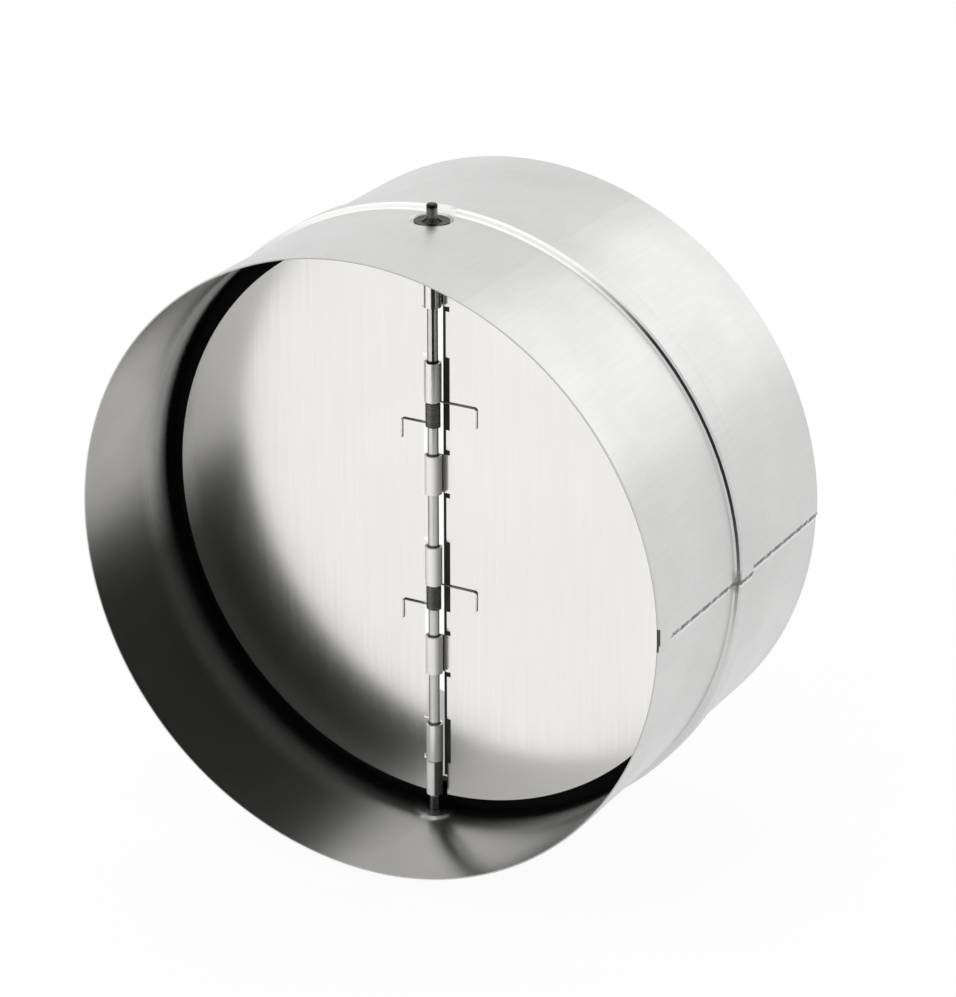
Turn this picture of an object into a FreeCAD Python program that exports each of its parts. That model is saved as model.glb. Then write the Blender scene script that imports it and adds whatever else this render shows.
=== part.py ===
import FreeCAD, Part
import os
import Sketcher
from FreeCAD import Placement, Rotation, Vector

# Duct backdraft damper: a short rolled-sheet casing with a raised bead, a hinge rod across its diameter,
# two sprung half-moon flaps and a rubber seal ring.
# The duct runs along Y from the middle of the front rim, and the rod along Z.

SIZES = [
    ("casing_diameter", 199.0, "outside of the plain casing"),
    ("casing_wall", 0.5, "sheet of the casing"),
    ("front_length", 44.5, "front rim to the rod axis"),
    ("rear_length", 65.5, "rod axis to the rear rim"),
    ("bead_offset", 11.5, "rod axis to the middle of the bead"),
    ("bead_width", 11.0, "bead at its foot"),
    ("bead_height", 1.7, "bead above the casing"),
    ("bead_side_run", 1.1, "axial run of each side of the bead"),
    ("bead_ease", 0.55, "eased corners of the bead"),
    ("eye_radius", 6.0, "flat pressed round each rod hole"),
    ("eye_depth", 0.9, "flat below the casing's crown"),
    ("eye_flare", 1.08, "run of the flat's sloping side over the depth"),
    ("rod_hole_play", 0.1, "radial play of the rod in the casing"),
    ("lap_step", 0.4, "step of the lap seam"),
    ("lap_dip", 0.15, "drop of the lap's far end"),
    ("lap_bite", 0.05, "depth of the lap in the wall"),
    ("lap_angle", 75.0, "degrees over which the lap fades out"),
    ("rod_diameter", 3.4, "hinge rod"),
    ("rod_overhang", 5.6, "rod beyond the pressed flat"),
    ("rod_chamfer", 0.3, "end chamfer of the rod"),
    ("flap_clearance", 5.5, "rim of the two flaps to the bore"),
    ("flap_sheet", 0.8, "sheet of the flaps"),
    ("flap_edge", 3.5, "free inner edge from the rod axis"),
    ("knuckle_play", 0.2, "radial play of a knuckle on the rod"),
    ("knuckle_length", 12.7, "one rolled knuckle"),
    ("knuckle_margin", 10.9, "outermost knuckles short of the flaps' rim, on average"),
    ("knuckle_rise", 1.8, "row of knuckles above the middle of the rod"),
    ("knuckle_mouth", 0.5, "slit where the roll meets the sheet"),
    ("notch_depth", 4.8, "notch beside the other flap's knuckle, from the rod axis"),
    ("notch_margin", 1.4, "notch beyond each end of that knuckle"),
    ("spring_room", 9.6, "notch beyond the knuckle at the spring"),
    ("relief_depth", 4.8, "relief cut beside a tab, from the rod axis"),
    ("relief_width", 1.6, "relief cut along the rod"),
    ("gasket_edge", 2.1, "edge gasket from the rod axis"),
    ("gasket_width", 7.0, "edge gasket across the flap"),
    ("gasket_thickness", 1.0, "edge gasket"),
    ("gasket_clearance", 2.5, "edge gasket short of the seal's bore"),
    ("seal_gap", 0.1, "closed flap to seal"),
    ("seal_overlap", 4.0, "seal behind the flap's rim"),
    ("seal_land", 0.5, "seal's flat front beyond the flap's rim"),
    ("seal_flange", 2.8, "thickness of the seal's flange"),
    ("seal_heel", 2.6, "seal inside the plain wall"),
    ("seal_clearance", 0.1, "seal to casing"),
    ("sleeve_diameter", 5.2, "stop sleeve on the rod"),
    ("sleeve_clearance", 5.4, "stop sleeve to the pressed flat"),
    ("sleeve_play", 0.3, "stop sleeve to the end knuckle"),
    ("sleeve_grip", 0.02, "radial gap of sleeve and push nut on the rod"),
    ("nut_diameter", 11.0, "push nut"),
    ("nut_sheet", 0.4, "sheet of the push nut"),
    ("nut_dome", 0.9, "rise of the push nut's teeth"),
    ("nut_rim", 2.0, "flat rim of the push nut"),
    ("nut_slot", 0.7, "slot between two teeth"),
    ("nut_teeth", 6, "teeth of the push nut"),
    ("wire_diameter", 0.6, "spring wire"),
    ("coil_play", 0.1, "radial play of the coil on the rod"),
    ("coil_turns", 14, "turns of the close-wound coil"),
    ("coil_offset", 0.3, "coil below its knuckle"),
    ("arm_reach_right", 14.2, "spring arm on the right flap"),
    ("arm_reach_left", 12.0, "spring arm on the left flap"),
    ("arm_tail", 6.5, "bent end of each arm"),
    ("elbow_radius", 0.8, "bend of each arm"),
    ("arm_gap", 0.02, "spring arm to flap"),
]

# Sizes that follow from the ones above.
DERIVED = [
    ("casing_radius", "casing_diameter / 2"),
    ("bore_radius", "casing_radius - casing_wall"),
    ("bead_front", "front_length + bead_offset - bead_width / 2"),
    ("bead_rear", "bead_front + bead_width"),
    ("bead_slant", "sqrt(bead_height ^ 2 + bead_side_run ^ 2)"),
    ("bead_shift", "casing_wall * (bead_slant - bead_side_run) / bead_height"),
    ("ease_rise", "bead_ease * bead_height / bead_slant"),
    ("ease_run", "bead_ease * bead_side_run / bead_slant"),
    ("eye_plane", "casing_radius - eye_depth"),
    ("eye_slope", "eye_flare / eye_depth"),
    ("eye_skin", "sqrt(1 + eye_slope ^ 2) - eye_slope"),
    ("eye_reach", "eye_depth + 2 * bead_height"),
    ("flap_radius", "bore_radius - flap_clearance"),
    ("rod_radius", "rod_diameter / 2"),
    ("rod_end", "eye_plane + rod_overhang"),
    ("knuckle_bore", "rod_radius + knuckle_play"),
    ("knuckle_radius", "knuckle_bore + flap_sheet"),
    ("knuckle_half", "knuckle_length / 2"),
    ("own_knuckle", "flap_radius - knuckle_margin - knuckle_half"),
    ("knuckle_pitch", "own_knuckle / 2.5"),
    ("other_knuckle", "1.5 * knuckle_pitch"),
    ("seal_front", "front_length + knuckle_radius + seal_gap"),
    ("seal_back", "seal_front + seal_flange"),
    ("seal_bore", "flap_radius - seal_overlap"),
    ("gasket_end", "seal_bore - gasket_clearance"),
    ("sleeve_start", "own_knuckle + knuckle_half + sleeve_play"),
    ("sleeve_end", "eye_plane - casing_wall - sleeve_clearance"),
    ("nut_radius", "nut_diameter / 2"),
    ("grip_radius", "rod_radius + sleeve_grip"),
    ("coil_radius", "rod_radius + coil_play + wire_diameter / 2"),
    ("wire_facet", "wire_diameter * tan(22.5)"),
    ("arm_plane", "knuckle_bore - wire_diameter / 2 - arm_gap"),
    ("arm_start", "sqrt(coil_radius ^ 2 - arm_plane ^ 2)"),
    ("arm_inset", "0.75 * wire_diameter"),
]

doc = FreeCAD.newDocument("backdraft_damper")
sheet = doc.addObject("Spreadsheet::Sheet", "sizes")
for row, (alias, value, note) in enumerate(SIZES, 1):
    sheet.set(f"A{row}", note)
    sheet.set(f"B{row}", str(value))
    sheet.setAlias(f"B{row}", alias)
for row, (alias, formula) in enumerate(DERIVED, len(SIZES) + 1):
    sheet.set(f"B{row}", "=" + formula)
    sheet.setAlias(f"B{row}", alias)
    doc.recompute()
doc.recompute()
NAMES = sorted((entry[0] for entry in SIZES + DERIVED), key=len, reverse=True)


def size(alias):
    return float(getattr(sheet, alias))


def linked(text):
    """Put the sheet's name before each size in an expression."""
    words = text.replace("(", " ( ").replace(")", " ) ").split()
    return " ".join("sizes." + word if word in NAMES else word for word in words)


def number(owner, text):
    return float(owner.evalExpression(linked(text)))


def new_body(name):
    return doc.addObject("PartDesign::Body", name)


def rod_body(name):
    """A body whose own origin is the middle of the rod."""
    body = new_body(name)
    body.setExpression("Placement.Base.y", linked("front_length"))
    return body


def new_sketch(body, name, plane, offset="0"):
    """A sketch on one of the body's own origin planes, moved along the plane's normal."""
    sketch = body.newObject("Sketcher::SketchObject", name)
    support = [f for f in body.Origin.OriginFeatures if f.Role == plane][0]
    sketch.AttachmentSupport = (support, [""])
    sketch.MapMode = "FlatFace"
    if offset != "0":
        sketch.setExpression("AttachmentOffset.Base.z", linked(offset))
    return sketch


def constrain(sketch, kind, value, *where):
    index = sketch.addConstraint(Sketcher.Constraint(kind, *where, number(sketch, value)))
    label = f"c{index}"
    sketch.renameConstraint(index, label)
    sketch.setExpression("Constraints." + label, linked(value))


def polygon(sketch, corners):
    """A closed outline whose corners are pairs of expressions."""
    points = [Vector(number(sketch, x), number(sketch, y), 0) for x, y in corners]
    first = sketch.GeometryCount
    count = len(points)
    for i in range(count):
        sketch.addGeometry(Part.LineSegment(points[i], points[(i + 1) % count]), False)
    for i in range(count):
        sketch.addConstraint(Sketcher.Constraint("Coincident", first + i, 2, first + (i + 1) % count, 1))
    for i, (x, y) in enumerate(corners):
        for kind, axis, value in (("DistanceX", -2, x), ("DistanceY", -1, y)):
            if value == "0":
                sketch.addConstraint(Sketcher.Constraint("PointOnObject", first + i, 1, axis))
            else:
                constrain(sketch, kind, value, -1, 1, first + i, 1)


def rectangle(sketch, x0, x1, y0, y1):
    polygon(sketch, [(x0, y0), (x1, y0), (x1, y1), (x0, y1)])


def circle(sketch, radius):
    index = sketch.addGeometry(Part.Circle(Vector(0, 0, 0), Vector(0, 0, 1), number(sketch, radius)), False)
    sketch.addConstraint(Sketcher.Constraint("Coincident", index, 3, -1, 1))
    constrain(sketch, "Radius", radius, index)


def revolve(body, name, sketch, angle="360", backwards=False):
    feature = body.newObject("PartDesign::Revolution", name)
    feature.Profile = sketch
    feature.ReferenceAxis = (sketch, ["V_Axis"])
    feature.setExpression("Angle", linked(angle))
    feature.Reversed = backwards
    return feature


def pad(body, name, sketch, length, both_ways=False):
    feature = body.newObject("PartDesign::Pad", name)
    feature.Profile = sketch
    feature.setExpression("Length", linked(length))
    feature.Midplane = both_ways
    return feature


def pocket(body, name, sketch, length=None, both_ways=False, backwards=False):
    feature = body.newObject("PartDesign::Pocket", name)
    feature.Profile = sketch
    if length is None:
        feature.Type = "ThroughAll"
    else:
        feature.setExpression("Length", linked(length))
    feature.Midplane = both_ways
    feature.Reversed = backwards
    return feature


def pattern(body, name, originals, length, occurrences):
    """Repeat features downwards along the rod."""
    feature = body.newObject("PartDesign::LinearPattern", name)
    feature.Originals = originals
    axis = [f for f in body.Origin.OriginFeatures if f.Role == "Z_Axis"][0]
    feature.Direction = (axis, [""])
    feature.Reversed = True
    feature.setExpression("Length", linked(length))
    feature.Occurrences = occurrences
    body.Tip = feature
    return feature


def cylinder(name, radius, start, length):
    """A round tool along the rod axis, from start to start plus length."""
    feature = doc.addObject("Part::Cylinder", name)
    feature.setExpression("Radius", linked(radius))
    feature.setExpression("Height", linked(length))
    feature.setExpression("Placement.Base.y", linked("front_length"))
    feature.setExpression("Placement.Base.z", linked(start))
    return feature


def fuse(name, pieces):
    feature = doc.addObject("Part::MultiFuse", name)
    feature.Shapes = pieces
    return feature


def cut(name, base, tool):
    feature = doc.addObject("Part::Cut", name)
    feature.Base = base
    feature.Tool = tool
    return feature


def eye_tools(name, radius, start):
    """Two flared tools, one at each end of the rod, that widen outwards from a flat."""
    tools = []
    for side, low, high in (("_upper", "Radius1", "Radius2"), ("_lower", "Radius2", "Radius1")):
        tool = doc.addObject("Part::Cone", name + side)
        tool.setExpression(low, linked(radius))
        tool.setExpression(high, linked(f"{radius} + eye_reach * eye_slope"))
        tool.setExpression("Height", linked("eye_reach"))
        tool.setExpression("Placement.Base.y", linked("front_length"))
        foot = start if side == "_upper" else f"0 - ( {start} ) - eye_reach"
        tool.setExpression("Placement.Base.z", linked(foot))
        tools.append(tool)
    return fuse(name, tools)


def bead_corners(radius, shift):
    """The bead's section on a turned form, with eased corners, from its front foot to its rear foot."""
    return [
        (radius, f"bead_front + {shift} - bead_ease"),
        (f"{radius} + ease_rise", f"bead_front + {shift} + ease_run"),
        (f"{radius} + bead_height - ease_rise", f"bead_front + {shift} + bead_side_run - ease_run"),
        (f"{radius} + bead_height", f"bead_front + {shift} + bead_side_run + bead_ease"),
        (f"{radius} + bead_height", f"bead_rear - {shift} - bead_side_run - bead_ease"),
        (f"{radius} + bead_height - ease_rise", f"bead_rear - {shift} - bead_side_run + ease_run"),
        (f"{radius} + ease_rise", f"bead_rear - {shift} - ease_run"),
        (radius, f"bead_rear - {shift} + bead_ease"),
    ]


def casing_wall_line(radius, shift, over):
    """The casing's outer or inner surface from rim to rim, over the rims by a margin."""
    first = (radius, f"0 - {over}")
    last = (radius, f"front_length + rear_length + {over}")
    return [first] + bead_corners(radius, shift) + [last]


def casing_outline(radius, shift, over):
    """Half of the casing's outer or inner form: a solid drum with the bead."""
    line = casing_wall_line(radius, shift, over)
    return [("0", line[0][1])] + line + [("0", line[-1][1])]


def build_casing():
    outer = new_body("casing_outer")
    sketch = new_sketch(outer, "casing_outer_section", "XY_Plane")
    polygon(sketch, casing_outline("casing_radius", "0", "0"))
    revolve(outer, "casing_outer_drum", sketch)
    inner = new_body("casing_inner")
    sketch = new_sketch(inner, "casing_inner_section", "XY_Plane")
    polygon(sketch, casing_outline("bore_radius", "bead_shift", "1"))
    revolve(inner, "casing_inner_drum", sketch)
    # The flats round the rod holes press the outer form in, and the inner form by one wall more.
    pressed = cut("casing_pressed", outer, eye_tools("outer_eyes", "eye_radius", "eye_plane"))
    inner_eyes = eye_tools("inner_eyes", "eye_radius + casing_wall * eye_skin", "eye_plane - casing_wall")
    hollow = cut("casing_hollow", inner, inner_eyes)
    shell = cut("casing_shell", pressed, hollow)
    hole_radius = "rod_radius + rod_hole_play"
    holes = cylinder("rod_holes", hole_radius, "0 - 2 * casing_radius", "4 * casing_radius")
    drilled = cut("casing_drilled", shell, holes)
    # The outer leaf of the lap seam lies a little off centre: it stands proud at its edge and fades out.
    leaf = new_body("casing_leaf")
    sketch = new_sketch(leaf, "casing_leaf_section", "XY_Plane")
    outside = casing_wall_line("casing_radius", "0", "0")
    inside = casing_wall_line("bore_radius + lap_bite", "bead_shift", "0")
    polygon(sketch, outside + inside[::-1])
    revolve(leaf, "casing_leaf_sweep", sketch, "lap_angle", True)
    leaf.setExpression("Placement.Base.x", linked("lap_step"))
    leaf.setExpression("Placement.Base.z", linked("0 - lap_dip"))
    return fuse("casing", [drilled, leaf])


def build_seal():
    """A ring held in the bead. Its front slopes from the bead to a flat land behind the flaps' rim."""
    body = new_body("seal_body")
    sketch = new_sketch(body, "seal_section", "XY_Plane")
    skin = "bore_radius - seal_clearance"
    inset = "( bead_shift + seal_clearance )"
    filling = bead_corners(skin, inset)
    land = [("seal_bore", "seal_front"), ("flap_radius + seal_land", "seal_front")]
    polygon(sketch, land + filling + [
        ("bore_radius - seal_heel", filling[-1][1]),
        ("bore_radius - seal_heel", "seal_back"),
        ("seal_bore", "seal_back"),
    ])
    revolve(body, "seal_sweep", sketch)
    gap = "( casing_wall + seal_clearance )"
    eyes = eye_tools("seal_eyes", f"eye_radius + {gap} * eye_skin", f"eye_plane - {gap}")
    return cut("seal_ring", body, eyes)


def build_rod():
    body = rod_body("hinge_rod")
    sketch = new_sketch(body, "rod_section", "XZ_Plane")
    polygon(sketch, [
        ("0", "0 - rod_end"),
        ("rod_radius - rod_chamfer", "0 - rod_end"),
        ("rod_radius", "rod_chamfer - rod_end"),
        ("rod_radius", "rod_end - rod_chamfer"),
        ("rod_radius - rod_chamfer", "rod_end"),
        ("0", "rod_end"),
    ])
    revolve(body, "rod_turning", sketch)
    return body


def turn_over(body):
    """The same piece at the other end of the rod, or on its other side."""
    body.Placement = Placement(body.Placement.Base, Rotation(Vector(0, 1, 0), 180))


def build_push_nut(name):
    body = rod_body(name)
    sketch = new_sketch(body, name + "_section", "XZ_Plane")
    polygon(sketch, [
        ("nut_radius", "eye_plane"),
        ("nut_radius", "eye_plane + nut_sheet"),
        ("nut_radius - nut_rim", "eye_plane + nut_sheet"),
        ("grip_radius", "eye_plane + nut_sheet + nut_dome"),
        ("grip_radius", "eye_plane + nut_dome"),
        ("nut_radius - nut_rim", "eye_plane"),
    ])
    revolve(body, name + "_form", sketch)
    sketch = new_sketch(body, name + "_slot", "XY_Plane", "eye_plane - 1")
    rectangle(sketch, "0", "nut_radius - nut_rim", "0 - nut_slot / 2", "nut_slot / 2")
    slot = pocket(body, name + "_slot_cut", sketch, "nut_sheet + nut_dome + 2", backwards=True)
    ring = body.newObject("PartDesign::PolarPattern", name + "_slots")
    ring.Originals = [slot]
    axis = [f for f in body.Origin.OriginFeatures if f.Role == "Z_Axis"][0]
    ring.Axis = (axis, [""])
    ring.Angle = 360
    ring.setExpression("Occurrences", linked("nut_teeth"))
    body.Tip = ring
    return body


def build_sleeve(name, rise):
    body = rod_body(name)
    sketch = new_sketch(body, name + "_section", "XZ_Plane")
    rectangle(sketch, "grip_radius", "sleeve_diameter / 2", f"sleeve_start + {rise}", "sleeve_end")
    revolve(body, name + "_form", sketch)
    return body


def build_flap(name, rise):
    """The right flap. Its knuckles stand at 5/2, 1/2 and -3/2 pitches, the other flap's between them."""
    body = rod_body(name)
    own, other = f"{rise} + own_knuckle", f"{rise} + other_knuckle"
    disc = new_sketch(body, name + "_disc", "XZ_Plane", "0 - knuckle_radius")
    circle(disc, "flap_radius")
    pad(body, name + "_blank", disc, "flap_sheet")
    half = new_sketch(body, name + "_half", "XZ_Plane")
    rectangle(half, "0 - flap_radius - 1", "flap_edge", "0 - flap_radius - 1", "flap_radius + 1")
    pocket(body, name + "_half_cut", half, both_ways=True)
    notch = new_sketch(body, name + "_notch", "XZ_Plane")
    rectangle(notch, "0", "notch_depth", f"{other} - knuckle_half - notch_margin",
              f"{other} + knuckle_half + notch_margin")
    notch_cut = pocket(body, name + "_notch_cut", notch, both_ways=True)
    pattern(body, name + "_notches", [notch_cut], "4 * knuckle_pitch", 3)
    room = new_sketch(body, name + "_spring_room", "XZ_Plane")
    rectangle(room, "0", "notch_depth", f"{other} - knuckle_half - spring_room", f"{other} - knuckle_half")
    room_cut = pocket(body, name + "_spring_room_cut", room, both_ways=True)
    pattern(body, name + "_spring_rooms", [room_cut], "2 * knuckle_pitch", 2)
    relief = new_sketch(body, name + "_relief", "XZ_Plane")
    rectangle(relief, "0", "relief_depth", f"{own} - knuckle_half - relief_width",
              f"{own} + knuckle_half + relief_width")
    relief_cut = pocket(body, name + "_relief_cut", relief, both_ways=True)
    pattern(body, name + "_reliefs", [relief_cut], "4 * knuckle_pitch", 3)
    tab = new_sketch(body, name + "_tab", "XZ_Plane", "0 - knuckle_radius")
    rectangle(tab, "0", "relief_depth", f"{own} - knuckle_half", f"{own} + knuckle_half")
    tab_pad = pad(body, name + "_tab_pad", tab, "flap_sheet")
    pattern(body, name + "_tabs", [tab_pad], "4 * knuckle_pitch", 3)
    roll = new_sketch(body, name + "_roll", "XY_Plane", own)
    circle(roll, "knuckle_radius")
    roll_pad = pad(body, name + "_roll_pad", roll, "knuckle_length", True)
    pattern(body, name + "_rolls", [roll_pad], "4 * knuckle_pitch", 3)
    bore = new_sketch(body, name + "_bore", "XY_Plane")
    circle(bore, "knuckle_bore")
    pocket(body, name + "_bore_cut", bore, both_ways=True)
    mouth = new_sketch(body, name + "_mouth", "XY_Plane")
    rectangle(mouth, "0", "knuckle_radius", "knuckle_bore - knuckle_mouth", "knuckle_bore")
    body.Tip = pocket(body, name + "_mouth_cut", mouth, both_ways=True)
    return body


def build_gasket(name):
    """The rubber strip on the rear of the right flap, along its hinge edge."""
    body = rod_body(name)
    sketch = new_sketch(body, name + "_outline", "XZ_Plane", "0 - knuckle_radius - gasket_thickness")
    rectangle(sketch, "gasket_edge", "gasket_edge + gasket_width", "0 - gasket_end", "gasket_end")
    pad(body, name + "_strip", sketch, "gasket_thickness")
    return body


TO_RIGHT = Rotation(Vector(0, 1, 0), 90)
TO_LEFT = Rotation(Vector(0, 1, 0), -90)
BEND_RIGHT = Rotation(Vector(1, 0, 0), Vector(0, 0, 1), Vector(0, -1, 0), "XYZ")
BEND_LEFT = Rotation(Vector(-1, 0, 0), Vector(0, 0, 1), Vector(0, 1, 0), "XYZ")


def on_arm(feature, turned, x, z):
    """Turn a length of spring wire and put its start in the plane of the arms."""
    feature.Placement = Placement(Vector(), turned)
    for axis, value in (("x", x), ("y", "front_length + arm_plane"), ("z", z)):
        feature.setExpression("Placement.Base." + axis, linked(value))
    return feature


def spring_arm(name, side, reach, level):
    """One end of a spring: out from the coil along the flap's front, then bent down."""
    turned, bent = (TO_RIGHT, BEND_RIGHT) if side == 1 else (TO_LEFT, BEND_LEFT)
    elbow = f"{side} * ( {reach} - elbow_radius )"
    out = cylinder(name + "_run", "wire_diameter / 2", "0", f"{reach} - elbow_radius - arm_start")
    bend = doc.addObject("Part::Torus", name + "_elbow")
    bend.setExpression("Radius1", linked("elbow_radius"))
    bend.setExpression("Radius2", linked("wire_diameter / 2"))
    bend.Angle3 = 90
    tail = cylinder(name + "_tail", "wire_diameter / 2", "0", "arm_tail - elbow_radius")
    return [
        on_arm(out, turned, f"{side} * arm_start", level),
        on_arm(bend, bent, elbow, f"{level} - elbow_radius"),
        on_arm(tail, Rotation(), f"{side} * {reach}", f"{level} - arm_tail"),
    ]


def build_spring(name, row):
    """A close-wound torsion spring: its top end lies on the right flap, its bottom end on the left."""
    top = f"{row} * knuckle_pitch - knuckle_half - coil_offset + knuckle_rise"
    body = rod_body(name + "_coil")
    sketch = new_sketch(body, name + "_section", "XZ_Plane")
    wide, narrow = "wire_diameter / 2", "wire_facet / 2"
    middle = f"{top} - wire_diameter / 2"
    polygon(sketch, [
        (f"coil_radius - {narrow}", f"{middle} - {wide}"),
        (f"coil_radius + {narrow}", f"{middle} - {wide}"),
        (f"coil_radius + {wide}", f"{middle} - {narrow}"),
        (f"coil_radius + {wide}", f"{middle} + {narrow}"),
        (f"coil_radius + {narrow}", f"{middle} + {wide}"),
        (f"coil_radius - {narrow}", f"{middle} + {wide}"),
        (f"coil_radius - {wide}", f"{middle} + {narrow}"),
        (f"coil_radius - {wide}", f"{middle} - {narrow}"),
    ])
    ring = revolve(body, name + "_turn", sketch)
    pattern(body, name + "_turns", [ring], "( coil_turns - 1 ) * wire_diameter", int(size("coil_turns")))
    upper = spring_arm(name + "_right", 1, "arm_reach_right", f"{top} - arm_inset")
    foot = f"{top} - coil_turns * wire_diameter"
    lower = spring_arm(name + "_left", -1, "arm_reach_left", f"{foot} + arm_inset")
    return fuse(name, [body] + upper + lower)


nodes = {
    "casing": build_casing(),
    "seal_ring": build_seal(),
    "hinge_rod": build_rod(),
    "upper_push_nut": build_push_nut("upper_push_nut"),
    "lower_push_nut": build_push_nut("lower_push_nut"),
    "upper_stop_sleeve": build_sleeve("upper_stop_sleeve", "knuckle_rise"),
    "lower_stop_sleeve": build_sleeve("lower_stop_sleeve", "( 0 - knuckle_rise )"),
    "right_flap": build_flap("right_flap", "knuckle_rise"),
    "left_flap": build_flap("left_flap", "( 0 - knuckle_rise )"),
    "right_edge_gasket": build_gasket("right_edge_gasket"),
}
for name in ("lower_push_nut", "lower_stop_sleeve", "left_flap"):
    turn_over(nodes[name])
doc.recompute()

# One spring hangs below each of the left flap's two upper knuckles.
for name, row in (("upper_spring", 1.5), ("lower_spring", -0.5)):
    nodes[name] = build_spring(name, row)
doc.recompute()

for item in doc.Objects:
    state = [flag for flag in item.State if flag in ("Invalid", "Error")]
    if state:
        raise RuntimeError(f"{item.Name}: {state}")
os.makedirs("parts", exist_ok=True)
for name, item in nodes.items():
    shape = item.Shape
    if shape.isNull() or not shape.isValid() or len(shape.Solids) != 1:
        raise RuntimeError(f"{name}: null, invalid or {len(shape.Solids)} solids")
    shape.exportStep(f"parts/{name}.step")
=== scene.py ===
import math

import bmesh
import bpy
from mathutils import Matrix, Vector


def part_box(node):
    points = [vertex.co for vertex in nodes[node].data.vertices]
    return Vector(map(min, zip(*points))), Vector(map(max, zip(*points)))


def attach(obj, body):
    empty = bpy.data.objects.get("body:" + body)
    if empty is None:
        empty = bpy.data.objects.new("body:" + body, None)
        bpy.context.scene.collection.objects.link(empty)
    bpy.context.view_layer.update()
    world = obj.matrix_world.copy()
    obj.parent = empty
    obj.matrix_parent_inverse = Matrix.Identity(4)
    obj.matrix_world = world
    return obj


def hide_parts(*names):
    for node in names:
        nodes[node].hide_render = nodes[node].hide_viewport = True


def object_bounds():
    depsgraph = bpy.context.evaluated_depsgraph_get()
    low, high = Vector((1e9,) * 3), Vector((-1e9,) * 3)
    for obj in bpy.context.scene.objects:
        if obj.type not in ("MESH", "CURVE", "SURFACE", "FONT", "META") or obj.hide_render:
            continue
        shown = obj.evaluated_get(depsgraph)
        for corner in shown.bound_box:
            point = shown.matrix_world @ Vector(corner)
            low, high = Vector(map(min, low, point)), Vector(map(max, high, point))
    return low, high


# A duct backdraft damper: galvanised casing, two sprung aluminium flaps on a rod, black rubber seals.
# The duct runs along Y from the front rim, and the rod along Z.

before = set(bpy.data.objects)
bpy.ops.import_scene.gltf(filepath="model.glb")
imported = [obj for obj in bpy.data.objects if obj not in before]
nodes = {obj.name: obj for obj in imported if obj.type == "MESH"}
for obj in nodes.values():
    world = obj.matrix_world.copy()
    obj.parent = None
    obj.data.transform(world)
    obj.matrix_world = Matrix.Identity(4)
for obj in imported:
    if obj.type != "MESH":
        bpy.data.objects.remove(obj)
cad_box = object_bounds()
scene = bpy.context.scene

MM = 0.001
ROD_Y = 44.5 * MM
ROD_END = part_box("hinge_rod")[1].z
DUCT_RADIUS = 99.5 * MM
BEAD_FRONT_Y = 50.5 * MM
KNUCKLE_PITCH = 30.5 * MM
KNUCKLE_TOP = 23.4 * MM
FLOOR_LEVEL = cad_box[0].z - 0.2 * MM

# Colours. A pair runs from the duller to the brighter patches of a finish.
# The inner side is the same zinc painted darker, as shade inside the casing.
INNER_ZINC_SHADED = ((0.42, 0.42, 0.415), (0.48, 0.48, 0.475))
OUTER_ZINC = ((0.585, 0.585, 0.58), (0.665, 0.665, 0.66))
# A painted highlight beside the seam, and painted shade in its crevice.
SEAM_SHINE = (0.86, 0.86, 0.855)
SEAM_DARK = (0.035, 0.033, 0.03)
# Colour of the painted highlight on top of the bead.
BEAD_HIGHLIGHT = (0.9, 0.9, 0.89)
# Colour of the band of painted light inside the casing by the seal.
SEAL_BAND_LIGHT = (0.66, 0.66, 0.65)
FLAP_SHEET = ((0.845, 0.835, 0.805), (0.885, 0.877, 0.85))
# Grey for painted shade on the knuckles and along the rod.
SHADE_GREY = (0.07, 0.07, 0.065)
ROD_PLATE = ((0.62, 0.615, 0.58), (0.74, 0.735, 0.69))
# Stain on the rod's ends, also painted as shade below each stop sleeve.
ROD_STAIN_AND_SHADE = ((0.10, 0.10, 0.094), (0.36, 0.36, 0.34))
# Black of the rod's cut ends, also painted as a shadow above each knuckle.
ROD_BLACK = (0.018, 0.018, 0.016)
# Zinc painted paler as a highlight on the sleeves, and black for painted shade on their right side.
SLEEVE_ZINC_AND_HIGHLIGHT = ((0.86, 0.86, 0.84), (0.95, 0.95, 0.93))
SLEEVE_SHADE_BLACK = (0.03, 0.03, 0.028)
NUT_BLACK = ((0.018, 0.019, 0.017), (0.05, 0.051, 0.047))
BLUED_WIRE = ((0.21, 0.208, 0.19), (0.37, 0.367, 0.345))
# Near-white, non-metallic paint on the springs' bent tips.
PALE_WIRE = ((0.9, 0.9, 0.88), (0.95, 0.95, 0.93))
SEAL_BLACK = ((0.003, 0.003, 0.003), (0.006, 0.006, 0.0058))
GASKET_GREY = ((0.022, 0.022, 0.021), (0.045, 0.045, 0.042))
VELVET_BLACK = (0.024, 0.024, 0.024)
FLOOR_WHITE = (0.93, 0.93, 0.93)


# Node graph helpers.

def new_material(name):
    """An empty node material with a metal-and-plastic shader on its output."""
    material = bpy.data.materials.new(name)
    material.use_nodes = True
    tree = material.node_tree
    tree.nodes.clear()
    output = tree.nodes.new("ShaderNodeOutputMaterial")
    shader = tree.nodes.new("ShaderNodeBsdfPrincipled")
    tree.links.new(shader.outputs["BSDF"], output.inputs["Surface"])
    return material, tree, shader


def add(tree, kind, **settings):
    node = tree.nodes.new(kind)
    for key, value in settings.items():
        setattr(node, key, value)
    return node


def feed(tree, socket, value):
    """Link a socket to another socket, or give it a plain value."""
    if isinstance(value, bpy.types.NodeSocket):
        tree.links.new(value, socket)
    else:
        socket.default_value = value


def maths(tree, operation, first, second=None):
    node = add(tree, "ShaderNodeMath", operation=operation)
    feed(tree, node.inputs[0], first)
    if second is not None:
        feed(tree, node.inputs[1], second)
    return node.outputs[0]


def product(tree, *factors):
    result = factors[0]
    for factor in factors[1:]:
        result = maths(tree, "MULTIPLY", result, factor)
    return result


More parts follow.
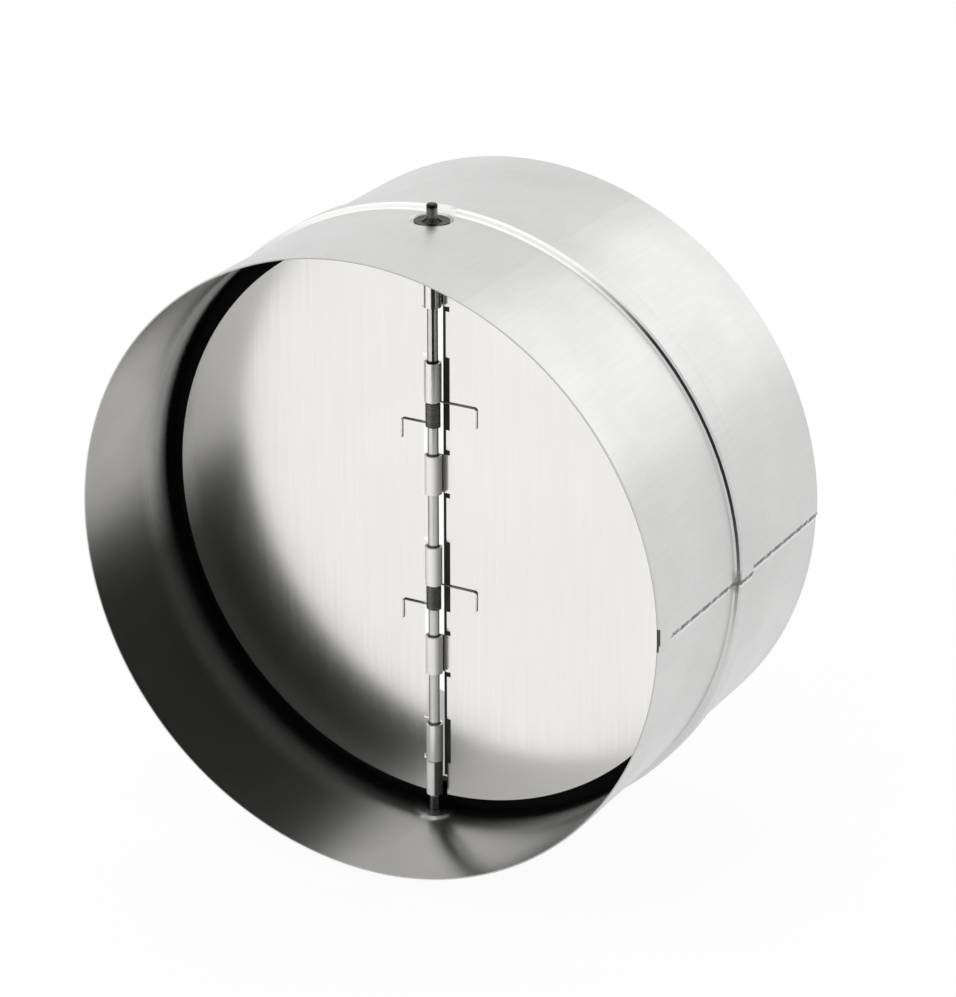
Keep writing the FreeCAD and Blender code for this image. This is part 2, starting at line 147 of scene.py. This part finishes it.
def largest(tree, *values):
    result = values[0]
    for value in values[1:]:
        result = maths(tree, "MAXIMUM", result, value)
    return result


def distance(tree, first, second):
    squares = maths(tree, "ADD", product(tree, first, first), product(tree, second, second))
    return maths(tree, "SQRT", squares)


def mingled(tree, first, first_share, second):
    """Two patterns added up, each by its share of the whole."""
    return maths(tree, "ADD", product(tree, first, first_share), product(tree, second, 1 - first_share))


def noise(tree, vector, scale, detail=2.0, roughness=0.5, distortion=0.0):
    node = add(tree, "ShaderNodeTexNoise")
    feed(tree, node.inputs["Vector"], vector)
    node.inputs["Scale"].default_value = scale
    node.inputs["Detail"].default_value = detail
    node.inputs["Roughness"].default_value = roughness
    node.inputs["Distortion"].default_value = distortion
    return node.outputs["Fac"]


def remap(tree, value, low, high, new_low, new_high):
    node = add(tree, "ShaderNodeMapRange", clamp=True)
    feed(tree, node.inputs["Value"], value)
    node.inputs["From Min"].default_value = low
    node.inputs["From Max"].default_value = high
    node.inputs["To Min"].default_value = new_low
    node.inputs["To Max"].default_value = new_high
    return node.outputs["Result"]


def band(tree, value, limits, soft):
    """1 between two limits, fading out over a soft margin on either side."""
    low, high = limits
    rise = remap(tree, value, low - soft, low, 0.0, 1.0)
    fall = remap(tree, value, high, high + soft, 1.0, 0.0)
    return product(tree, rise, fall)


def mix_colour(tree, share, first, second):
    node = add(tree, "ShaderNodeMix", data_type="RGBA")
    feed(tree, node.inputs[0], share)
    for socket, value in ((node.inputs[6], first), (node.inputs[7], second)):
        feed(tree, socket, value if isinstance(value, bpy.types.NodeSocket) else (*value, 1.0))
    return node.outputs[2]


def patchy(tree, pattern, pair, low=0.3, high=0.7):
    """A colour that runs through a pair as a pattern goes from low to high."""
    return mix_colour(tree, remap(tree, pattern, low, high, 0.0, 1.0), *pair)


def mix_value(tree, share, first, second):
    node = add(tree, "ShaderNodeMix", data_type="FLOAT")
    for socket, value in zip(node.inputs[:1] + node.inputs[2:4], (share, first, second)):
        feed(tree, socket, value)
    return node.outputs[0]


def stretched(tree, vector, scale):
    node = add(tree, "ShaderNodeMapping")
    feed(tree, node.inputs["Vector"], vector)
    node.inputs["Scale"].default_value = scale
    return node.outputs["Vector"]


def bump(tree, height, strength, depth):
    node = add(tree, "ShaderNodeBump")
    node.inputs["Strength"].default_value = strength
    node.inputs["Distance"].default_value = depth
    feed(tree, node.inputs["Height"], height)
    return node.outputs["Normal"]


def own_place(tree):
    return add(tree, "ShaderNodeTexCoord").outputs["Object"]


def axes(tree, place):
    split = add(tree, "ShaderNodeSeparateXYZ")
    feed(tree, split.inputs[0], place)
    return split.outputs


def rolled_place(tree):
    """Where a point lies on the flat sheet before it was rolled, then its x, y, z and radius."""
    x, y, z = axes(tree, own_place(tree))
    radius = distance(tree, x, z)
    join = add(tree, "ShaderNodeCombineXYZ")
    feed(tree, join.inputs[0], product(tree, maths(tree, "ARCTAN2", x, z), DUCT_RADIUS))
    feed(tree, join.inputs[1], y)
    feed(tree, join.inputs[2], radius)
    return join.outputs[0], x, y, z, radius


# Finishes.

SEAM_Y = (9 * MM, 120 * MM)
CREVICE_Z = (-0.95 * MM, 0.4 * MM)
SHINE_Z = (-1.8 * MM, -1.2 * MM)
SEAM_FRAY = 0.9 * MM
KINK_Y = (BEAD_FRONT_Y - 0.1 * MM, BEAD_FRONT_Y + 0.7 * MM)
KINK_Z = (-1.6 * MM, 2.0 * MM)
RIM_TICK_Y = (-1 * MM, 0.45 * MM)
RIM_TICK_Z = (-2.1 * MM, 4.9 * MM)


def seam_marks(tree, sheet, x, y, z):
    """The lap seam on the casing's right side: how dark a point is painted, and how much painted highlight
    it gets.
    """
    right_side = maths(tree, "GREATER_THAN", x, 0.5 * DUCT_RADIUS)
    ripple = maths(tree, "SUBTRACT", noise(tree, sheet, 700.0, 2.0, 0.6), 0.5)
    ragged = maths(tree, "ADD", z, product(tree, ripple, SEAM_FRAY))
    along = product(tree, band(tree, y, SEAM_Y, 1 * MM), right_side)
    steps = noise(tree, stretched(tree, sheet, (0.0, 420.0, 0.0)), 1.0, 1.0, 0.5)
    dashes = remap(tree, steps, 0.36, 0.5, 0.35, 1.0)
    # Painted shade in the seam's crevice, broken into dashes.
    crevice = product(tree, band(tree, ragged, CREVICE_Z, 0.3 * MM), along, dashes)
    # A painted highlight along the seam's lower edge.
    shine = product(tree, band(tree, ragged, SHINE_Z, 0.4 * MM), along, 0.45)
    blotches = remap(tree, noise(tree, sheet, 900.0, 2.0, 0.6), 0.35, 0.6, 0.45, 1.0)
    # A dark blotch where the seam crosses the bead's front.
    bead_kink = product(tree, band(tree, y, KINK_Y, 0.8 * MM), band(tree, ragged, KINK_Z, 2.4 * MM),
                        right_side, blotches)
    # A painted shadow where the lap ends at the front rim.
    rim_tick = product(tree, band(tree, y, RIM_TICK_Y, 0.2 * MM), band(tree, z, RIM_TICK_Z, 0.3 * MM),
                       right_side)
    seam_darkening = largest(tree, product(tree, crevice, 0.72), product(tree, bead_kink, 0.8),
                   product(tree, rim_tick, 0.96))
    return seam_darkening, shine


BEAD_HIGHLIGHT_Y = (BEAD_FRONT_Y - 0.2 * MM, BEAD_FRONT_Y + 1.7 * MM)
SEAL_BAND_Y = (35 * MM, 40.5 * MM)


def painted_zinc_light(tree, x, y, z, outer_face):
    """A painted highlight on top of the bead's front edge, and inside the casing a little short of the seal
    a matt band of painted light, stronger towards the top and on the right.
    """
    # A painted highlight along the top of the bead's front edge.
    crown = remap(tree, z, 72 * MM, 90 * MM, 0.0, 1.0)
    bead_highlight = product(tree, band(tree, y, BEAD_HIGHLIGHT_Y, 0.3 * MM), crown, outer_face)
    # Inside, a matt band of painted light short of the seal, stronger towards the top and on the right.
    upper = remap(tree, z, -25 * MM, 12 * MM, 0.09, 1.0)
    right = remap(tree, x, 5 * MM, 50 * MM, 0.0, 0.45)
    inner_face = maths(tree, "SUBTRACT", 1.0, outer_face)
    seal_band_light = product(tree, band(tree, y, SEAL_BAND_Y, 5 * MM), largest(tree, upper, right), inner_face)
    return bead_highlight, seal_band_light


def galvanised_sheet():
    """Bright zinc-coated sheet: soft clouds, rolling grain, an inner side painted darker as shade, painted
    highlights on the bead and along the seam, a band of painted light inside by the seal, and painted shade
    and a dark blotch along the seam.
    """
    material, tree, shader = new_material("galvanised_sheet")
    sheet, x, y, z, radius = rolled_place(tree)
    clouds = noise(tree, sheet, 28.0, 3.0, 0.55, 0.4)
    grain = noise(tree, stretched(tree, sheet, (900.0, 60.0, 60.0)), 1.0, 3.0, 0.6)
    specks = noise(tree, sheet, 1400.0, 2.0, 0.6)
    tone = mingled(tree, clouds, 0.65, grain)
    outer_face = maths(tree, "GREATER_THAN", radius, DUCT_RADIUS - 0.25 * MM)
    seam_darkening, shine = seam_marks(tree, sheet, x, y, z)
    bead_highlight, seal_band_light = painted_zinc_light(tree, x, y, z, outer_face)
    colour = mix_colour(tree, outer_face, patchy(tree, tone, INNER_ZINC_SHADED), patchy(tree, tone, OUTER_ZINC))
    colour = mix_colour(tree, shine, colour, SEAM_SHINE)
    colour = mix_colour(tree, bead_highlight, colour, BEAD_HIGHLIGHT)
    colour = mix_colour(tree, seal_band_light, colour, SEAL_BAND_LIGHT)
    # Last, the seam's painted shade and dark marks.
    feed(tree, shader.inputs["Base Color"], mix_colour(tree, seam_darkening, colour, SEAM_DARK))
    # This mask holds the painted highlight and the painted light; there the sheet is made non-metallic.
    bloom = product(tree, largest(tree, bead_highlight, seal_band_light), 0.95)
    feed(tree, shader.inputs["Metallic"], maths(tree, "SUBTRACT", 1.0, largest(tree, seam_darkening, bloom)))
    inner_rough = remap(tree, tone, 0.3, 0.7, 0.27, 0.23)
    outer_rough = remap(tree, tone, 0.3, 0.7, 0.35, 0.29)
    rough = mix_value(tree, outer_face, inner_rough, outer_rough)
    feed(tree, shader.inputs["Roughness"], mix_value(tree, seam_darkening, rough, 0.7))
    feed(tree, shader.inputs["Normal"], bump(tree, specks, 0.06, 0.2 * MM))
    return material


KNUCKLE_X = (-2.9 * MM, 2.9 * MM)
KNUCKLE_REAR_Y = ROD_Y + 1.7 * MM


def flap_aluminium():
    """Bright mill-finish sheet. Its knuckles are duller, with painted shade at their sides and in their
    bores.
    """
    material, tree, shader = new_material("flap_aluminium")
    place = own_place(tree)
    x, y, z = axes(tree, place)
    clouds = noise(tree, place, 22.0, 3.0, 0.5, 0.3)
    rolling = noise(tree, stretched(tree, place, (900.0, 40.0, 25.0)), 1.0, 2.0, 0.5)
    tone = mingled(tree, clouds, 0.6, rolling)
    in_front = maths(tree, "LESS_THAN", y, KNUCKLE_REAR_Y)
    knuckle = product(tree, band(tree, x, KNUCKLE_X, 0.3 * MM), in_front)
    # Painted shade on the knuckles' sides and in their bores.
    left_shade = remap(tree, x, -2.3 * MM, -1.9 * MM, 0.85, 0.0)
    right_shade = remap(tree, x, 1.4 * MM, 2.5 * MM, 0.0, 0.5)
    rod_distance = distance(tree, x, maths(tree, "SUBTRACT", y, ROD_Y))
    bore_shade = remap(tree, rod_distance, 2.05 * MM, 2.35 * MM, 0.95, 0.0)
    knuckle_shade = product(tree, knuckle, largest(tree, left_shade, right_shade, bore_shade))
    colour = patchy(tree, tone, FLAP_SHEET)
    feed(tree, shader.inputs["Base Color"], mix_colour(tree, knuckle_shade, colour, SHADE_GREY))
    bright_top = remap(tree, z, 20 * MM, 70 * MM, 0.1, 1.0)
    bright_foot = remap(tree, z, -67 * MM, -60 * MM, 0.5, 0.1)
    rolled_metal = largest(tree, bright_top, bright_foot)
    feed(tree, shader.inputs["Metallic"], mix_value(tree, knuckle, 1.0, rolled_metal))
    flat_rough = remap(tree, tone, 0.3, 0.7, 0.23, 0.18)
    rolled_rough = remap(tree, rolled_metal, 0.1, 1.0, 0.32, 0.16)
    feed(tree, shader.inputs["Roughness"], mix_value(tree, knuckle, flat_rough, rolled_rough))
    feed(tree, shader.inputs["Normal"], bump(tree, rolling, 0.03, 0.1 * MM))
    return material


def hinge_rod_steel():
    """Zinc-plated rod: drawing lines, painted shade along its sides, a painted shadow above each knuckle,
    and stained ends beyond the casing, the stain running on as painted shade below each stop sleeve.
    """
    material, tree, shader = new_material("zinc_plated_rod")
    place = own_place(tree)
    x, y, z = axes(tree, place)
    height = maths(tree, "ABSOLUTE", z)
    lines = noise(tree, stretched(tree, place, (900.0, 900.0, 30.0)), 1.0, 2.0, 0.5)
    patches = noise(tree, place, 160.0, 3.0, 0.6)
    tone = mingled(tree, lines, 0.5, patches)
    # Stained ends, reaching in below each stop sleeve as painted shade.
    end_stain_and_shade = remap(tree, height, 92.5 * MM, 94 * MM, 0.0, 1.0)
    cut_end = remap(tree, height, ROD_END - 1.5 * MM, ROD_END - 0.8 * MM, 0.0, 1.0)
    # A painted shadow on the rod just above each knuckle.
    above_top = maths(tree, "SUBTRACT", z, KNUCKLE_TOP)
    past_knuckle = maths(tree, "FLOORED_MODULO", above_top, KNUCKLE_PITCH)
    shadow_collar = remap(tree, past_knuckle, 0.5 * MM, 1.0 * MM, 0.92, 0.0)
    stain_and_shade = patchy(tree, tone, ROD_STAIN_AND_SHADE, 0.35, 0.65)
    colour = mix_colour(tree, end_stain_and_shade, patchy(tree, tone, ROD_PLATE), stain_and_shade)
    # Painted shade along the rod's left and rear sides.
    left_shade = remap(tree, x, -1.2 * MM, -0.5 * MM, 0.85, 0.0)
    right_shade = remap(tree, y, ROD_Y - 0.7 * MM, ROD_Y + 0.1 * MM, 0.0, 0.8)
    dull_run = remap(tree, z, 30 * MM, 50 * MM, 1.0, 0.0)
    side_shade = product(tree, largest(tree, left_shade, right_shade), dull_run)
    colour = mix_colour(tree, side_shade, colour, SHADE_GREY)
    # Black for the cut ends and for the painted shadow above the knuckles.
    blackened = largest(tree, cut_end, shadow_collar)
    feed(tree, shader.inputs["Base Color"], mix_colour(tree, blackened, colour, ROD_BLACK))
    rubbed = remap(tree, z, 20 * MM, 50 * MM, 0.0, 1.0)
    feed(tree, shader.inputs["Metallic"], mix_value(tree, largest(tree, rubbed, end_stain_and_shade), 0.25, 1.0))
    uneven = remap(tree, tone, 0.3, 0.7, 0.04, -0.04)
    rough = maths(tree, "ADD", mix_value(tree, rubbed, 0.36, 0.14), uneven)
    feed(tree, shader.inputs["Roughness"], mix_value(tree, end_stain_and_shade, rough, 0.42))
    feed(tree, shader.inputs["Normal"], bump(tree, lines, 0.04, 0.1 * MM))
    return material


def drawn_steel(name, pair, rough, metal=1.0):
    """Turned or drawn steel, with fine rings and a few duller patches."""
    material, tree, shader = new_material(name)
    place = own_place(tree)
    rings = noise(tree, stretched(tree, place, (80.0, 80.0, 1500.0)), 1.0, 2.0, 0.5)
    patches = noise(tree, place, 160.0, 3.0, 0.6)
    tone = mingled(tree, rings, 0.5, patches)
    feed(tree, shader.inputs["Base Color"], patchy(tree, tone, pair))
    shader.inputs["Metallic"].default_value = metal
    feed(tree, shader.inputs["Roughness"], remap(tree, tone, 0.3, 0.7, rough + 0.05, rough - 0.03))
    feed(tree, shader.inputs["Normal"], bump(tree, rings, 0.04, 0.1 * MM))
    return material


def matt_sleeve():
    """Matt zinc plate on a stop sleeve, painted pale as a highlight, with painted shade along its right
    side.
    """
    material, tree, shader = new_material("matt_zinc_sleeve")
    place = own_place(tree)
    x = axes(tree, place)[0]
    patches = noise(tree, place, 300.0, 3.0, 0.6)
    # Painted shade on the right side; the rest is zinc painted pale as a highlight.
    sleeve_shade = remap(tree, x, 0.9 * MM, 1.4 * MM, 0.0, 0.95)
    zinc = patchy(tree, patches, SLEEVE_ZINC_AND_HIGHLIGHT)
    feed(tree, shader.inputs["Base Color"], mix_colour(tree, sleeve_shade, zinc, SLEEVE_SHADE_BLACK))
    shader.inputs["Metallic"].default_value = 0.15
    feed(tree, shader.inputs["Roughness"], remap(tree, patches, 0.3, 0.7, 0.4, 0.32))
    return material


def rubber(name, pair):
    """Matt rubber with fine pores and a slight bloom."""
    material, tree, shader = new_material(name)
    place = own_place(tree)
    pores = noise(tree, place, 2200.0, 3.0, 0.65)
    bloom = noise(tree, place, 60.0, 3.0, 0.6)
    feed(tree, shader.inputs["Base Color"], patchy(tree, bloom, pair, 0.35, 0.7))
    feed(tree, shader.inputs["Roughness"], remap(tree, bloom, 0.3, 0.7, 0.62, 0.74))
    shader.inputs["Specular IOR Level"].default_value = 0.14
    feed(tree, shader.inputs["Normal"], bump(tree, pores, 0.2, 0.2 * MM))
    return material


galvanised = galvanised_sheet()
aluminium = flap_aluminium()
rod_steel = hinge_rod_steel()
sleeve_zinc = matt_sleeve()
nut_steel = drawn_steel("blackened_push_nut", NUT_BLACK, 0.34)
blued_wire = drawn_steel("blued_spring_wire", BLUED_WIRE, 0.42)
pale_wire = drawn_steel("pale_spring_wire", PALE_WIRE, 0.6, 0.0)
seal_rubber = rubber("black_seal_rubber", SEAL_BLACK)
gasket_rubber = rubber("grey_gasket_rubber", GASKET_GREY)

FINISHES = {
    "casing": galvanised,
    "seal_ring": seal_rubber,
    "hinge_rod": rod_steel,
    "upper_push_nut": nut_steel,
    "lower_push_nut": nut_steel,
    "upper_stop_sleeve": sleeve_zinc,
    "lower_stop_sleeve": sleeve_zinc,
    "right_flap": aluminium,
    "left_flap": aluminium,
    "right_edge_gasket": gasket_rubber,
}
for node_name, finish in FINISHES.items():
    mesh = nodes[node_name].data
    mesh.materials.clear()
    mesh.materials.append(finish)


# Torsion springs: a close-wound coil on the rod, and an arm along the front of each flap.

WIRE_RADIUS = 0.28 * MM
WIRE_SIDES = 10
COIL_RADIUS = 2.1 * MM
COIL_TURNS = 13
COIL_HEIGHT = 8.4 * MM
STEPS_PER_TURN = 28
ARM_PLANE = 1.58 * MM
ARM_BEND = 3.5 * MM
ARM_ELBOW = 0.8 * MM
ELBOW_STEPS = 6
ARM_TAIL = 6.5 * MM
ARM_REACH = {1: 14.2 * MM, -1: 12.0 * MM}
PALE_DROP = 0.6 * ARM_ELBOW
NOT_PALE = -1.0
MERGE_GAP = 0.001 * MM
# Where the right arm leaves the coil on a tangent to its bend. The left arm mirrors it.
LEAVE_ANGLE = math.atan2(ARM_PLANE, ARM_BEND) + math.acos(COIL_RADIUS / math.hypot(ARM_PLANE, ARM_BEND))


def wire_ring(bm, centre, along):
    """One ring of the wire's section, at right angles to its run."""
    turn = Vector(along).to_track_quat("Z", "Y").to_matrix().to_4x4()
    made = bmesh.ops.create_circle(bm, segments=WIRE_SIDES, radius=WIRE_RADIUS, cap_ends=True,
                                   matrix=Matrix.Translation(centre) @ turn)
    return made["verts"]


def end_face(bm, verts):
    corners = set(verts)
    return [face for face in bm.faces if set(face.verts) == corners][0]


def finish_wire(bm, name, body, node_name, pale_below=NOT_PALE):
    """Close a wire, smooth it but for its cut ends, and hang it on its body."""
    bmesh.ops.remove_doubles(bm, verts=bm.verts, dist=MERGE_GAP)
    bmesh.ops.recalc_face_normals(bm, faces=bm.faces)
    mesh = bpy.data.meshes.new(name)
    bm.to_mesh(mesh)
    bm.free()
    mesh.materials.append(blued_wire)
    mesh.materials.append(pale_wire)
    for polygon in mesh.polygons:
        polygon.use_smooth = len(polygon.vertices) == 4
        polygon.material_index = int(polygon.center.z < pale_below)
    piece = bpy.data.objects.new(name, mesh)
    scene.collection.objects.link(piece)
    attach(piece, body)
    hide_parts(node_name)


def wind_coil(name, node_name, top):
    """The coil, from its left arm at the bottom to its right arm at the top."""
    bm = bmesh.new()
    low = top - COIL_HEIGHT + WIRE_RADIUS
    start = math.pi - LEAVE_ANGLE
    sweep = 2 * math.pi * COIL_TURNS + start - LEAVE_ANGLE
    steps = COIL_TURNS * STEPS_PER_TURN
    rise = COIL_HEIGHT - 2 * WIRE_RADIUS
    centre = Vector((COIL_RADIUS * math.cos(start), ROD_Y + COIL_RADIUS * math.sin(start), low))
    wire_ring(bm, centre, (math.sin(start), -math.cos(start), 0))
    bmesh.ops.spin(bm, geom=bm.verts[:] + bm.edges[:] + bm.faces[:], cent=(0, ROD_Y, 0), axis=(0, 0, 1),
                   dvec=(0, 0, rise / steps), angle=-sweep, steps=steps)
    finish_wire(bm, name, "casing_body", node_name)


def draw_out(bm, face, shift):
    """Lengthen a wire from its end face, and give back the new end's corners."""
    made = bmesh.ops.extrude_face_region(bm, geom=[face])
    verts = [item for item in made["geom"] if isinstance(item, bmesh.types.BMVert)]
    bmesh.ops.translate(bm, verts=verts, vec=shift)
    bmesh.ops.delete(bm, geom=[face], context="FACES_ONLY")
    return verts


def bend_arm(name, node_name, side, level, body):
    """A spring's end: off the coil, along the flap's front, and bent down at its tip."""
    bm = bmesh.new()
    angle = LEAVE_ANGLE if side == 1 else math.pi - LEAVE_ANGLE
    start = Vector((COIL_RADIUS * math.cos(angle), ROD_Y + COIL_RADIUS * math.sin(angle), level))
    knee = Vector((side * ARM_BEND, ROD_Y + ARM_PLANE, level))
    run = knee - start
    tip = draw_out(bm, end_face(bm, wire_ring(bm, start, run)), run)
    straighten = math.atan2(side * run.y, side * run.x)
    bmesh.ops.rotate(bm, verts=tip, cent=knee, matrix=Matrix.Rotation(-straighten, 3, "Z"))
    flat = ARM_REACH[side] - ARM_ELBOW - ARM_BEND
    tip = draw_out(bm, end_face(bm, tip), Vector((side * flat, 0, 0)))
    hub = (side * (ARM_REACH[side] - ARM_ELBOW), ROD_Y + ARM_PLANE, level - ARM_ELBOW)
    made = bmesh.ops.spin(bm, geom=[end_face(bm, tip)], cent=hub, axis=(0, 1, 0), angle=side * math.pi / 2,
                          steps=ELBOW_STEPS)
    last = [item for item in made["geom_last"] if isinstance(item, bmesh.types.BMFace)][0]
    draw_out(bm, last, Vector((0, 0, ARM_ELBOW - ARM_TAIL)))
    finish_wire(bm, name, body, node_name, level - PALE_DROP)


for node_name in ("upper_spring", "lower_spring"):
    coil_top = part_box(node_name)[1].z
    wind_coil(node_name + "_coil", node_name, coil_top)
    bend_arm(node_name + "_right_arm", node_name, 1, coil_top - WIRE_RADIUS, "right_flap_body")
    bend_arm(node_name + "_left_arm", node_name, -1, coil_top - COIL_HEIGHT + WIRE_RADIUS, "left_flap_body")


# Floor, light and camera.

FLOOR_EVENNESS = 0.93
FLOOR_HALF = 4.0
CARD_Y = -0.6
CARD_LIFT = 1 * MM
CARD_FLOOR = [(0.068, -0.12), (0.1, -0.09), (2.5, -0.09), (2.5, CARD_Y), (0.09, CARD_Y)]
CARD_TOP = [(2.5, 1.6), (-1.12, 1.6)]
ROOM_LIGHT = 0.8
ROOM_WHITE = 1.0


def stage_mesh(name, bm, material):
    mesh = bpy.data.meshes.new(name)
    bm.to_mesh(mesh)
    bm.free()
    mesh.materials.append(material)
    piece = bpy.data.objects.new(name, mesh)
    scene.collection.objects.link(piece)
    return piece


def card_paint():
    """Black velvet, without any shine of its own."""
    material, tree, shader = new_material("black_velvet")
    shader.inputs["Base Color"].default_value = (*VELVET_BLACK, 1.0)
    shader.inputs["Roughness"].default_value = 1.0
    shader.inputs["Specular IOR Level"].default_value = 0.0
    return material


def background_rays(tree):
    """1 for the rays that show the background: straight, mirrored or through glass."""
    paths = add(tree, "ShaderNodeLightPath")
    return largest(tree, paths.outputs["Is Camera Ray"], paths.outputs["Is Glossy Ray"],
                   paths.outputs["Is Transmission Ray"])


def white_floor_paint():
    """White paint that the camera sees as almost even white, with a faint shadow."""
    material, tree, shader = new_material("white_floor")
    shader.inputs["Base Color"].default_value = (*FLOOR_WHITE, 1.0)
    shader.inputs["Roughness"].default_value = 0.9
    glow = add(tree, "ShaderNodeEmission")
    glow.inputs["Strength"].default_value = 1.0
    blend = add(tree, "ShaderNodeMixShader")
    feed(tree, blend.inputs[0], product(tree, background_rays(tree), FLOOR_EVENNESS))
    feed(tree, blend.inputs[1], shader.outputs["BSDF"])
    feed(tree, blend.inputs[2], glow.outputs["Emission"])
    output = [node for node in tree.nodes if node.type == "OUTPUT_MATERIAL"][0]
    feed(tree, output.inputs["Surface"], blend.outputs["Shader"])
    return material


def lay_floor():
    bm = bmesh.new()
    bmesh.ops.create_grid(bm, x_segments=1, y_segments=1, size=FLOOR_HALF,
                          matrix=Matrix.Translation((0, 0, FLOOR_LEVEL)))
    stage_mesh("floor", bm, white_floor_paint())


def stand_card():
    """A black card before the damper and to its right, seen only in the metal's reflections."""
    bm = bmesh.new()
    flat = [bm.verts.new((x, y, FLOOR_LEVEL + CARD_LIFT)) for x, y in CARD_FLOOR]
    high = [bm.verts.new((x, CARD_Y, z)) for x, z in CARD_TOP]
    bm.faces.new(flat)
    bm.faces.new([flat[-1], flat[-2]] + high)
    card = stage_mesh("black_card", bm, card_paint())
    for flag in ("visible_camera", "visible_diffuse", "visible_shadow", "visible_transmission"):
        setattr(card, flag, False)


def light_room():
    """An even white room, a little dimmer as a light than as a background."""
    world = bpy.data.worlds.new("studio")
    scene.world = world
    world.use_nodes = True
    tree = world.node_tree
    background = tree.nodes["Background"]
    background.inputs["Color"].default_value = (1.0, 1.0, 1.0, 1.0)
    strength = remap(tree, background_rays(tree), 0.0, 1.0, ROOM_LIGHT, ROOM_WHITE)
    feed(tree, background.inputs["Strength"], strength)


def softbox(name, place, target, width, height, power):
    lamp = bpy.data.lights.new(name, "AREA")
    lamp.shape = "RECTANGLE"
    lamp.size = width
    lamp.size_y = height
    lamp.energy = power
    piece = bpy.data.objects.new(name, lamp)
    scene.collection.objects.link(piece)
    piece.location = place
    piece.rotation_euler = (Vector(target) - Vector(place)).to_track_quat("-Z", "Y").to_euler()
    piece.visible_camera = False
    return piece


lay_floor()
stand_card()
light_room()
softbox("rear_right_softbox", (0.95, 1.65, 1.0), (0, 0.05, 0), 2.2, 1.4, 4.0)
softbox("top_softbox", (-0.65, 0.1, 1.8), (-0.65, 0.1, 0), 2.0, 1.6, 6.2)
front_fill = softbox("front_fill", (-0.3, -1.3, 0.7), (0, ROD_Y, 0), 1.2, 1.2, 6.0)
front_fill.visible_glossy = False

IMAGE_WIDTH = 956
IMAGE_HEIGHT = 997
VIEW_AZIMUTH = math.radians(29.008)
VIEW_ELEVATION = math.radians(23.046)
VIEW_DISTANCE = 1.1399
VIEW_FOCAL_PIXELS = 3694.4
ROD_MIDDLE_PIXEL = (433.54, 524.93)
SENSOR_WIDTH = 36.0


def set_camera():
    """The photograph's view, placed by the pixel on which the middle of the rod falls."""
    level = math.cos(VIEW_ELEVATION)
    back = Vector((math.sin(VIEW_AZIMUTH) * level, -math.cos(VIEW_AZIMUTH) * level,
                   math.sin(VIEW_ELEVATION)))
    right = Vector((math.cos(VIEW_AZIMUTH), math.sin(VIEW_AZIMUTH), 0))
    up = back.cross(right)
    camera_data = bpy.data.cameras.new("photo_view")
    camera_data.sensor_fit = "AUTO"
    camera_data.sensor_width = SENSOR_WIDTH
    camera_data.lens = VIEW_FOCAL_PIXELS * SENSOR_WIDTH / max(IMAGE_WIDTH, IMAGE_HEIGHT)
    camera_data.clip_start = 0.01
    camera_data.clip_end = 50.0
    camera = bpy.data.objects.new("photo_view", camera_data)
    scene.collection.objects.link(camera)
    per_pixel = VIEW_DISTANCE / VIEW_FOCAL_PIXELS
    camera.location = (Vector((0, ROD_Y, 0)) + back * VIEW_DISTANCE
                       - right * (ROD_MIDDLE_PIXEL[0] - IMAGE_WIDTH / 2) * per_pixel
                       + up * (ROD_MIDDLE_PIXEL[1] - IMAGE_HEIGHT / 2) * per_pixel)
    camera.rotation_mode = "QUATERNION"
    camera.rotation_quaternion = (-back).to_track_quat("-Z", "Y")
    scene.camera = camera


set_camera()
scene.view_settings.view_transform = "Standard"
